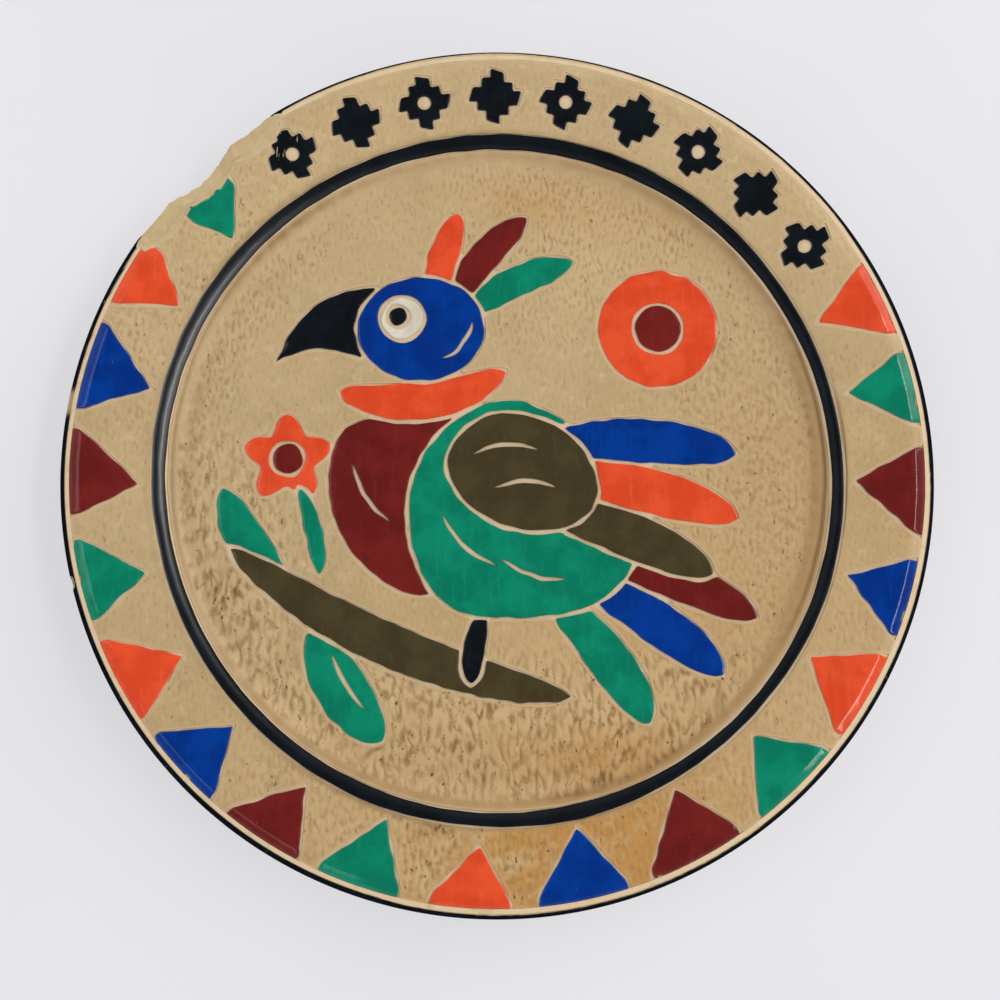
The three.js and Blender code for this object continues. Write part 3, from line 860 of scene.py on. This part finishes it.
def pitPlaces(x, y, pitchX, pitchY, seed, shift):
    # distance, in pitches, to the nearest of a jittered grid of points, with every other row shifted, and
    # a random number of 0 to 1 for that point
    random = np.random.default_rng(seed)
    place = random.uniform(-0.5, 0.5, (128, 128, 2))
    chance = random.uniform(0, 1, (128, 128))
    across, up = x / pitchX, y / pitchY
    nearest = np.full(np.shape(x), 9.0)
    force = np.zeros(np.shape(x))
    for rowStep in (-1, 0, 1):
        row = np.floor(up).astype(int) + rowStep
        moved = across + shift * (row % 2)
        for columnStep in (-1, 0, 1):
            column = np.floor(moved).astype(int) + columnStep
            offset = place[column % 128, row % 128]
            gap = np.hypot(moved - column - 0.5 - offset[..., 0], up - row - 0.5 - offset[..., 1])
            force = np.where(gap < nearest, chance[column % 128, row % 128], force)
            nearest = np.minimum(nearest, gap)
    return nearest, force


def groundMarks(x, y, radius, turned, inWell):
    # depth from 0 to 1 of the marks of the tools, the share of the ground that they take, and the deep
    # pits among them: upright dabs at the foot and on the left, softer ones on the right, fine strokes
    # at the top
    upright = 0.6 * hollows(x, y, 1.65, 2.4, 320, -0.3, 0.9) + 0.7 * creases(x, y, 1.5, 2.6, 320)
    soft = 0.8 * hollows(x, y, 1.35, 1.8, 330, -0.2, 1.0) + 0.4 * creases(x, y, 1.4, 1.8, 330)
    strokes = hollows(x, y, 1.05, 2.7, 340, -0.1, 1.0)
    foot = smoothStep(-y, *areas["foot"])
    left = smoothStep(-x, *areas["left"]) * (1 - smoothStep(y, *areas["leftTop"])) * (1 - foot)
    right = smoothStep(x, *areas["right"]) * (1 - foot) * (1 - smoothStep(y, *areas["rightTop"]))
    top = smoothStep(y, *areas["top"]) * smoothStep(x, *areas["topLeft"]) * (1 - right)
    plain = np.clip(1 - foot - left - right - top, 0, 1)
    low = bell(turned, *areas["rimFoot"])
    upper = bell(turned, *areas["rimUpper"])
    side = smoothStep(radius, *areas["side"]) * bell(turned, *areas["sideTurn"])
    patches = 0.5 + 0.45 * smoothStep(ripples(x, y, 13, 37), -1.0, 0.2)
    dabbed = 1.3 * foot + left + 0.15 * top + 0.12 * right + 0.25 * side
    stroked = 0.15 * foot + 0.2 * left + 0.28 * right + 0.55 * top + 0.25 * plain + 0.4 * side
    shares = [
        (np.clip(upright, 0, 1), np.where(inWell, dabbed, 0.4 * low)),
        (np.clip(soft, 0, 1), np.where(inWell, 0.38 * right, 0.1 + 0.5 * low + 0.25 * upper)),
        (strokes, np.where(inWell, stroked, 0.2 + 0.3 * low + 0.25 * upper)),
    ]
    marks = patches * sum(kind * share for kind, share in shares)
    cover = patches * sum(share for _, share in shares)
    nearest, force = pitPlaces(x, y, 2.2, 4.4, 36, 0.5)
    pits = smoothStep(0.26 - nearest, 0.0, 0.16) * (force > 0.6)
    pitted = 0.4 * right + 0.35 * foot + 1.3 * shareNear(x, y, -62, -22, 8, 16)
    return marks, cover, pits * np.clip(pitted, 0, 1) * patches * inWell


def groundSoot(x, y):
    # where the wash has run together and dried dark
    return np.max([share * shareNear(x, y, *spot) for *spot, share in ground["soot"]], axis=0)


def groundPaintedShade(radius, turned):
    # painted shade along the cove and beside the band, by radius and angle
    rows = [np.interp(turned, angles, shares) * bell(radius, middle, reach)
            for middle, reach, angles, shares in paintedShade]
    return sum(rows)


def groundLine(x, y, radius, turned):
    # the line pressed along the inside of the band, and a shorter dark one along its outside on the right,
    # which is brown and painted shadow of the groove beside the band
    middle = np.interp(turned, pressed["angles"], pressed["radii"]) + 0.05 * ripples(x, y, 14, 38)
    share = np.interp(turned, pressed["angles"], pressed["shares"])
    outer = 0.9 * smoothStep(turned, 70, 84) * (1 - smoothStep(turned, 100, 118))
    return share * bell(radius, middle, pressed["reach"]) + outer * bell(radius, ground["rings"][1], 0.22)


def groundStain(x, y, radius, turned, inWell):
    # warm stains near the top and the foot of the well, and at the foot of the rim; and the warmer clay
    # of the lower right
    well = 0.42 * shareNear(x, y, 8, 66, 14, 5) + 0.2 * shareNear(x, y, 22, 60, 26, 7)
    well = well + 0.7 * shareNear(x, y, 26, -66, 24, 7)
    rim = smoothStep(radius, 80, 82) * bell(turned, 168, 22)
    warm = smoothStep(0.45 * x - y, -20, 75) * np.where(inWell, 0.8, 0.5)
    warm = warm + 0.3 * smoothStep(x, 5, 45) * inWell
    return np.clip(well * inWell + 1.2 * rim, 0, 1), np.clip(warm, 0, 1)


def groundTone(x, y, turned, inWell):
    # the slip made a little darker: on the right and at the foot of the well, and at the lower left of the
    # rim
    well = 0.07 * smoothStep(x, 20, 50) + 0.12 * shareNear(x, y, -8, -66, 20, 8)
    return np.where(inWell, well, 0.1 * bell(turned, 224, 26))


def cutByKnocks(x, y, whole):
    # the top of a coat, or the scar where that is lower, but never through the coat; and the share of
    # bare clay there
    scarZ = scarHeight(x, y)
    least = slabFoot(np.hypot(x, y)) + form["thinnest"]
    return np.maximum(np.minimum(whole, scarZ), least), smoothStep(whole - scarZ, 0.0, 0.05)


def groundTop(x, y, distance):
    # the surface, less a relief that is the depth of the marks, levelled off at the deepest, or less the
    # groove beside a motif; the marks fade out beside the motifs, the band and the edge, and in the cove
    radius, turned = polar(x, y)
    inWell = radius < form["bandMiddle"]
    marks, cover, pits = groundMarks(x, y, radius, turned, inWell)
    soot = groundSoot(x, y)
    line = groundLine(x, y, radius, turned)
    toEdge = form["slipEnd"] - radius
    fade = smoothStep(distance, ground["clear"], ground["fade"])
    edges = smoothStep(np.abs(radius - form["bandMiddle"]), 1.9, 2.7) * smoothStep(toEdge, 0.2, 1.5)
    cove = smoothStep(radius, form["floorRadius"], 72.5) * inWell
    pastEnd = radius - np.interp(turned, marksEnd["angles"], marksEnd["radii"])
    marked = edges * (1 - smoothStep(pastEnd, -0.4, 0.4) * inWell)
    depth = marks * fade * marked * (1 - 0.25 * cove * (1 - soot))
    pits = pits * fade * edges * (1 - cove)
    relief = ground["relief"] * depth + 0.4 * pits + 0.25 * line
    relief = relief + 0.014 * ripples(x, y, 1.0, 45, 12) + 0.03 * (1 + ripples(x, y, 6, 46))
    relief = ground["deepest"] * (1 - np.exp(-np.maximum(relief, 0) / ground["deepest"]))
    slope = (1 - smoothStep(distance, 0.0, ground["grooveWidth"])) * smoothStep(toEdge, 0.05, 0.6)
    whole = surfaceHeight(radius) - np.maximum(relief, ground["groove"] * slope)
    height, bare = cutByKnocks(x, y, whole)
    stain, warm = groundStain(x, y, radius, turned, inWell)
    low = smoothStep(ripples(x, y, 15, 40), -0.4, 0.9)
    # brown wash in the marks with painted shade in their creases, brown in the pits and the pressed lines
    wash = depth**1.2 * (0.58 + 0.28 * low + 0.5 * soot) + 0.8 * pits + 0.9 * line + 0.16 * soot
    # painted shade along the cove and beside the band
    wash = wash + groundPaintedShade(radius, turned) * (0.85 + 0.3 * ripples(x, y, 4, 43))
    wash = wash + groundTone(x, y, turned, inWell)
    dark = np.clip(0.85 * depth * soot + 0.5 * pits - 0.15, 0, 1) + 0.45 * line
    # painted highlight on the tops of the bumps, and the slip paler towards the top of the plate
    crest = np.clip(0.9 * (cover - 1.3 * marks), 0, 1) * fade * marked
    crest = crest + 0.4 * smoothStep(y, 5, 70) * (1 - depth)
    byBand = (1 - smoothStep(radius, 80.6, 81.4)) * (1 - inWell) * (1 - bell(turned, 80, 20))
    halo = (1 - smoothStep(distance, 0.05, 0.5)) * (1 - 0.85 * byBand)
    return height, {
        "wash": np.clip(wash, 0, 0.95), "dark": np.clip(dark, 0, 1), "rough": np.clip(cover, 0, 1) * marked,
        "crest": np.clip(crest, 0, 1), "stain": stain, "warm": warm, "halo": halo, "bare": bare,
    }


def relaxed(loop, rounds):
    # each point moves halfway to the middle of its neighbours, a few times
    for _ in range(rounds):
        loop = 0.5 * loop + 0.25 * (np.roll(loop, 1, axis=0) + np.roll(loop, -1, axis=0))
    return loop


def wander(loop, seed, reach, size):
    # an unsteady hand: each point drifts with smooth noise
    x, y = loop.T
    return loop + reach * np.stack([ripples(x, y, size, seed), ripples(x, y, size, seed + 1)], 1)


def onRings(loop, rings, reach=0.3):
    # points that lie near one of the rings are put on it, but for a slight waver
    radius = np.hypot(*loop.T)
    waver = 0.04 * ripples(*loop.T, 9, 53)
    put = radius.copy()
    for ring in rings:
        put = np.where(np.abs(radius - ring) < reach, ring + waver, put)
    ringed = loop * (put / radius)[:, None]
    step = np.linalg.norm(ringed - np.roll(ringed, 1, axis=0), axis=1)
    return ringed[step > 0.12]


# the flanks of the rim's triangles, and how near the band a border follows it
flanks = {"share": 0.9, "wider": 1.08, "beside": (0.35, 1.45), "onRing": 0.3, "nearBand": (2.2, 3.6)}


def triangleReaches():
    # for each triangle of the rim: the angles of its base's ends, and the angle and radius of its point
    reaches = []
    for node in sorted(frame["nodes"]):
        if node.startswith("rim_triangle"):
            radius, angle = polar(*planOutlines(node)[0].T)
            first = radius.argmin()
            reaches.append((angle.min(), angle.max(), angle[first], radius[first]))
    return reaches


rimReaches = triangleReaches()


def spreadOut(loop):
    # the rim's triangles spread towards their bases, and their flanks turn outward before the rim's edge:
    # what lies beside a triangle moves away from its middle line and in towards its point's radius, but
    # for what lies on the slip's outer ring, which keeps its radius, and at the chip, which stays
    radius, angle = polar(*loop.T)
    whole = smoothStep(scarHeight(*loop.T) - surfaceHeight(radius), 0.0, 1.5)
    flank = radius < form["slipEnd"] - flanks["onRing"]
    newRadius, newAngle = radius.copy(), angle.copy()
    for low, high, middle, point in rimReaches:
        outside = np.maximum(low - angle, angle - high)
        share = whole * (1 - smoothStep(outside, *flanks["beside"])) * (radius > point)
        newAngle += share * (flanks["wider"] - 1) * (angle - middle)
        newRadius -= share * flank * (1 - flanks["share"]) * (radius - point)
    turn = np.radians(newAngle)
    return np.stack([newRadius * np.sin(turn), newRadius * np.cos(turn)], 1)


def handCut(loop, look, onRim, rounds, reach, seed):
    # an outline as an unsteady hand cuts it: eased, spread out on the rim, relaxed, and wandering
    loop = easedLoop(loop, look["border"])
    if onRim:
        loop = easedLoop(spreadOut(loop), look["border"])
    return wander(relaxed(loop, rounds), seed, reach, look["wanderSize"])


def alongBand(loop):
    # the slip's borders beside the band keep to it where it lies out of the middle
    radius, turned = polar(*loop.T)
    share = 1 - smoothStep(np.abs(radius - form["bandMiddle"]), *flanks["nearBand"])
    return loop * (1 + share * bandShift(turned) / radius)[:, None]


def makeGround(name, node):
    # the node's own outlines, cut by hand and fitted to the band, filled as a slab
    cut = [handCut(loop, ground, True, 1, ground["wander"], 51) for loop in planOutlines(node)]
    loops = [alongBand(onRings(loop, ground["rings"])) for loop in cut]
    points, faces, values = slab(loops, ground["pitch"], groundTop, ground["netRings"])
    piece = newPiece(name, node, points, faces, finishes["slip"], 60, **values)
    print(name, len(piece.data.polygons), "faces")


makeGround("tooled_well_slip", "well_slip")
makeGround("tooled_rim_slip", "rim_slip")

# Painted fields

field = {
    "rimPitch": 0.45, "wellPitch": 0.9, "netRings": (0.09, 0.22), "border": 0.38,
    "rise": 0.09, "round": 0.34, "shoulder": 0.08, "dome": 0.03, "wander": 0.2, "wanderSize": 6.0,
}


def fieldTop(x, y, distance):
    # a slab with round shoulders, a slight crown and the unevenness of thick paint
    corner = np.sqrt(np.clip(1 - (1 - np.minimum(distance, field["round"]) / field["round"]) ** 2, 0, 1))
    crown = field["dome"] * (1 - np.exp(-distance / 1.5)) + 0.012 * ripples(x, y, 5, 61)
    raised = (field["rise"] + crown) * corner - field["shoulder"] * (1 - corner)
    height, bare = cutByKnocks(x, y, surfaceHeight(np.hypot(x, y)) + raised)
    return height, {"bare": bare}


def makeField(node, finish, seed):
    # the node's own outlines, painted by hand up to the edge's bare line, raised as a slab
    onRim = node.startswith("rim_")
    reach = field["wander"] * (0.4 if node.startswith("rim_diamond") else 1)
    loops = [handCut(loop, field, onRim, 2, reach, seed) for loop in planOutlines(node)]
    if onRim:
        loops = [onRings(loop, (form["slipEnd"],)) for loop in loops]
    pitch = field["rimPitch"] if onRim else field["wellPitch"]
    points, faces, values = slab(loops, pitch, fieldTop, field["netRings"])
    newPiece("painted_" + node, node, points, faces, finish, 60, **values)


others = {"plate_body", "foot_ring", "shoulder_band", "edge_paint", "well_slip", "rim_slip"}
for count, node in enumerate(sorted(set(frame["nodes"]) - others)):
    colour = "scuffed" if node == "rim_diamond_1" else slotOf[node].replace("_paint", "")
    makeField(node, finishes[colour], 70 + 2 * count)
print("painted fields made")

# Floor, lamps and camera

stage = {
    "floor": "eaeaef", "paler": "eeedf1", "size": 2.5, "even": 0.6, "backdrop": "eceef2",
    "world": 1.02, "zenith": 0.08, "dimming": (0.6, 0.85),  # the sky is dark straight above the plate
    "lamps": [
        {"place": (0.75, 0.5, 0.75), "size": (0.6, 0.6), "share": 0.11, "colour": (1.0, 0.99, 0.975)},
        {"place": (0.61, -0.02, 0.9), "size": (0.8, 0.1), "share": 0.18, "colour": (1.0, 1.0, 1.0)},
        {"place": (-0.43, -0.43, 0.9), "size": (0.5, 0.1), "share": 0.02, "colour": (0.97, 0.985, 1.0)},
        {"place": (-0.6, 0.13, 0.9), "size": (0.5, 0.3), "share": 0.06, "colour": (0.9, 0.96, 1.0)},
    ],
}


def makeFloor():
    # pale, evened out for the camera, and clear from below
    half = stage["size"] / 2
    mesh = bpy.data.meshes.new("floor")
    corners = [(-half, -half, 0), (half, -half, 0), (half, half, 0), (-half, half, 0)]
    mesh.from_pydata(corners, [], [(0, 1, 2, 3)])
    material, tree, shader, place = newFinish("pale_floor", 0.7, 0.0, 0.3, 0.2)
    tone = ramp(tree, noiseOf(tree, place, 160, 2), 0.3, 0.7)
    colour = blendOf(tree, tone, stage["floor"], stage["paler"])
    tree.links.new(colour, shader.inputs["Base Color"])
    glow = addNode(tree, "ShaderNodeEmission", {"Color": colour, "Strength": 1.0})
    path = addNode(tree, "ShaderNodeLightPath", {})
    evened = times(tree, path.outputs["Is Camera Ray"], stage["even"])
    mixed = addNode(tree, "ShaderNodeMixShader", {0: evened, 1: shader.outputs[0], 2: glow.outputs[0]})
    below = addNode(tree, "ShaderNodeNewGeometry", {}).outputs["Backfacing"]
    clear = addNode(tree, "ShaderNodeBsdfTransparent", {})
    oneSided = addNode(tree, "ShaderNodeMixShader", {0: below, 1: mixed.outputs[0], 2: clear.outputs[0]})
    tree.links.new(oneSided.outputs[0], tree.nodes["Material Output"].inputs["Surface"])
    mesh.materials.append(material)
    newObject("floor", mesh)


def makeWorld():
    # an even white sky that dims towards straight above, and a pale backdrop for the camera
    world = bpy.data.worlds.new("studio")
    world.use_nodes = True
    tree = world.node_tree
    lit = tree.nodes["Background"]
    upward = addNode(tree, "ShaderNodeTexCoord", {}).outputs["Generated"]
    height = addNode(tree, "ShaderNodeSeparateXYZ", {0: upward}).outputs["Z"]
    strength = ramp(tree, height, *stage["dimming"], stage["world"], stage["zenith"])
    tree.links.new(strength, lit.inputs["Strength"])
    lit.inputs["Color"].default_value = (1, 1, 1, 1)
    seen = addNode(tree, "ShaderNodeBackground", {"Color": stage["backdrop"], "Strength": 1.0})
    camera = addNode(tree, "ShaderNodeLightPath", {}).outputs["Is Camera Ray"]
    mixed = addNode(tree, "ShaderNodeMixShader", {0: camera, 1: lit.outputs[0], 2: seen.outputs[0]})
    tree.links.new(mixed.outputs[0], tree.nodes["World Output"].inputs["Surface"])
    bpy.context.scene.world = world


def makeLamps():
    # a lamp's power gives its share of the light on the floor under it: share * pi^2 * distance^2 / cosine
    for number, lamp in enumerate(stage["lamps"]):
        light = bpy.data.lights.new(f"lamp_{number + 1}", "AREA")
        light.shape = "RECTANGLE"
        light.size, light.size_y = lamp["size"]
        distance = Vector(lamp["place"]).length
        light.energy = lamp["share"] * math.pi**2 * distance**3 / lamp["place"][2]
        light.color = lamp["colour"]
        holder = newObject(light.name, light)
        holder.location = lamp["place"]
        holder.rotation_euler = (-Vector(lamp["place"])).to_track_quat("-Z", "Y").to_euler()


view = {"elevation": 84.0, "distance": 0.2558, "lens": 40.26, "aim": (0.00066, -0.00721, 0.0146)}


def makeCamera():
    camera = bpy.data.cameras.new("camera")
    camera.lens = view["lens"]
    camera.sensor_width = 36.0
    camera.clip_start = 0.01
    camera.clip_end = 20.0
    holder = newObject("camera", camera)
    tilt = math.radians(view["elevation"])
    away = Vector((0, -math.cos(tilt), math.sin(tilt))) * view["distance"]
    holder.location = Vector(view["aim"]) + away
    holder.rotation_euler = (math.radians(90) - tilt, 0, 0)
    bpy.context.scene.camera = holder


makeFloor()
makeWorld()
makeLamps()
makeCamera()
bpy.context.scene.view_settings.view_transform = "Standard"
print("stage made")
